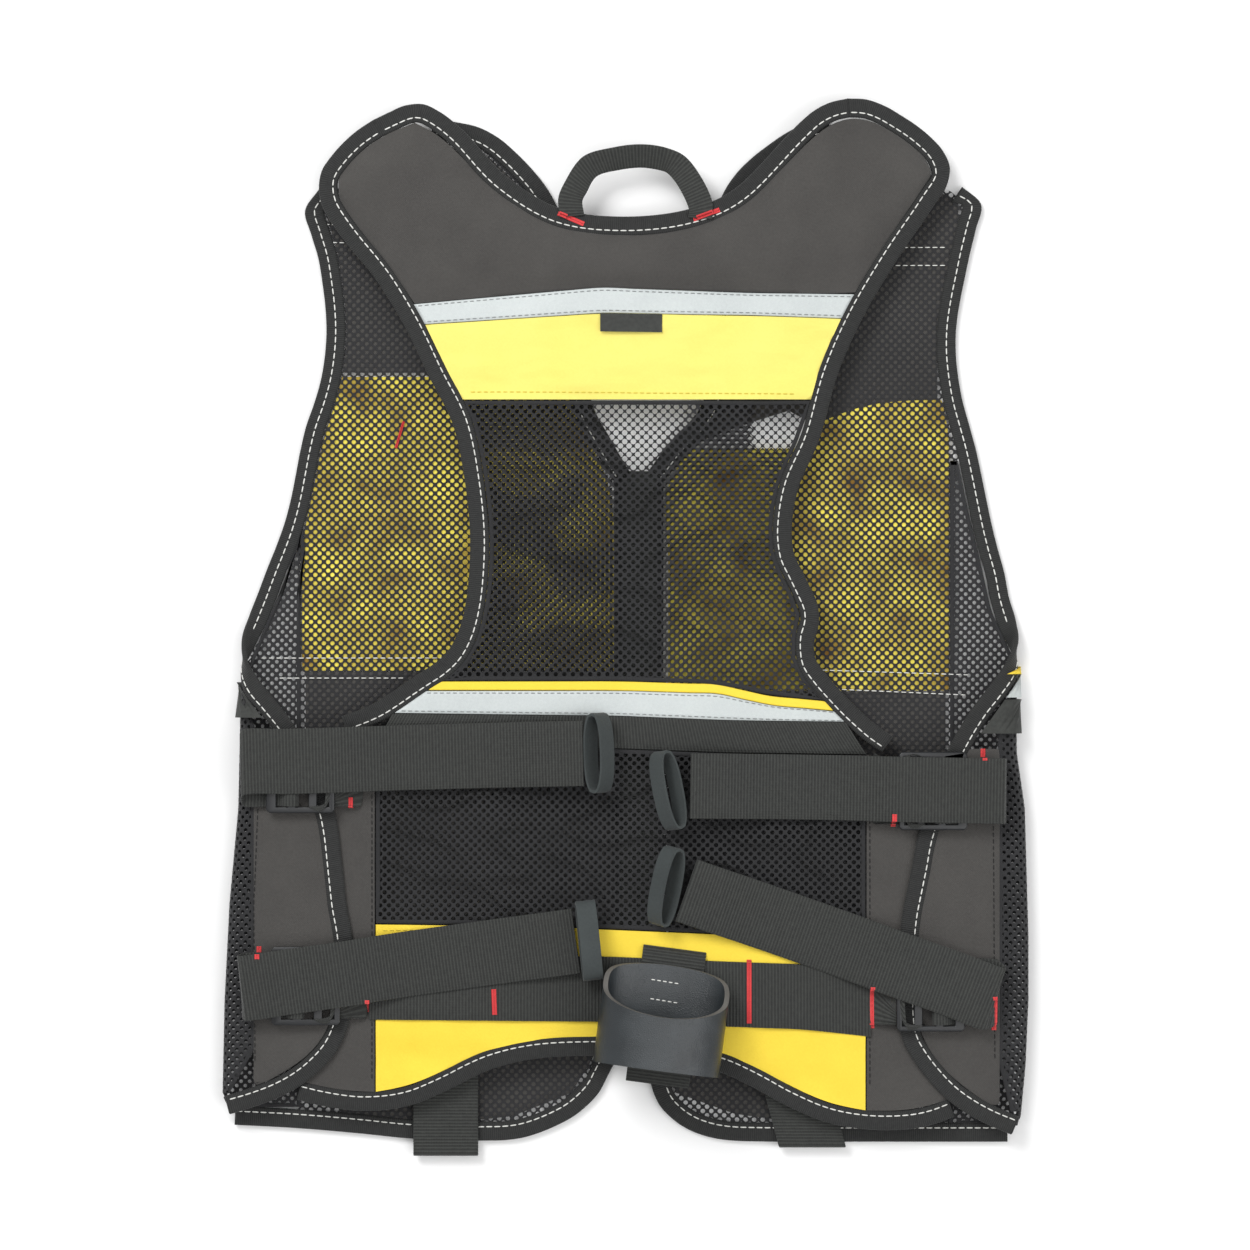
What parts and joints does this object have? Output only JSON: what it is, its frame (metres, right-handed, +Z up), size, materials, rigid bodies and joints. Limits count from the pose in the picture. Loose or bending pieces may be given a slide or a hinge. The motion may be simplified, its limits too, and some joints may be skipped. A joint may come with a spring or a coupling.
{
  "type": "utility work vest",
  "caption": "High-visibility mesh work vest with padded shoulder yoke, side adjustment straps, carrying handle and a leather tool loop, laid flat with its back up.",
  "frame": {"origin": "centre of the laid vest's outline on the floor", "axes": "+Y towards the head end, +X to the right of the vest seen from its back, +Z up out of the floor"},
  "size_m": [0.4964, 0.6515, 0.0725],
  "materials": {
    "oxford": "plain woven polyester",
    "mesh": "perforated polyester mesh",
    "tape": "ribbed grosgrain",
    "webbing": "ribbed webbing",
    "yellow": "fluorescent woven polyester",
    "reflective": "matt silver tape",
    "leather": "smooth, slightly shiny",
    "plastic": "fine texture",
    "elastic": "plain elastic"
  },
  "bodies": {
    "root": {"armhole_tape_left": "tape", "neck_tape": "tape", "armhole_tape_right": "tape", "hem_tape": "tape", "back_yoke": "oxford", "upper_reflective_strip": "reflective", "upper_yellow_band": "yellow", "back_mesh_upper": "mesh", "waist_piping": "yellow", "waist_reflective_strip": "reflective", "waist_webbing": "webbing", "back_mesh_lower": "mesh", "lower_yellow_band": "yellow", "back_side_strip_left": "oxford", "back_side_strip_right": "oxford", "label_tab": "webbing", "lower_belt": "webbing", "front_armhole_tape_left": "tape", "front_neck_tape_left": "tape", "front_hem_tape_left": "tape", "front_mesh_left": "mesh", "front_shoulder_left": "oxford", "front_chest_left": "yellow", "front_pocket_left": "oxford", "side_gusset_left": "mesh", "wrap_strip_left": "oxford", "side_webbing_left": "webbing", "front_armhole_tape_right": "tape", "front_neck_tape_right": "tape", "front_hem_tape_right": "tape", "front_mesh_right": "mesh", "front_shoulder_right": "oxford", "front_chest_right": "yellow", "front_pocket_right": "oxford", "side_gusset_right": "mesh", "wrap_strip_right": "oxford", "side_reflective_right": "reflective", "side_webbing_right": "webbing", "front_zip": "webbing", "buckle_tab_upper_left": "webbing", "buckle_upper_left": "plastic", "strap_upper_left": "webbing", "keeper_upper_left": "elastic", "buckle_tab_lower_left": "webbing", "buckle_lower_left": "plastic", "strap_lower_left": "webbing", "keeper_lower_left": "elastic", "buckle_tab_upper_right": "webbing", "buckle_upper_right": "plastic", "strap_upper_right": "webbing", "keeper_upper_right": "elastic", "buckle_tab_lower_right": "webbing", "buckle_lower_right": "plastic", "strap_lower_right": "webbing", "keeper_lower_right": "elastic", "carry_handle": "webbing", "loop_hanger": "webbing", "leather_tool_loop": "leather", "hem_loop_left": "webbing", "hem_loop_right": "webbing"}
  },
  "joints": []
}
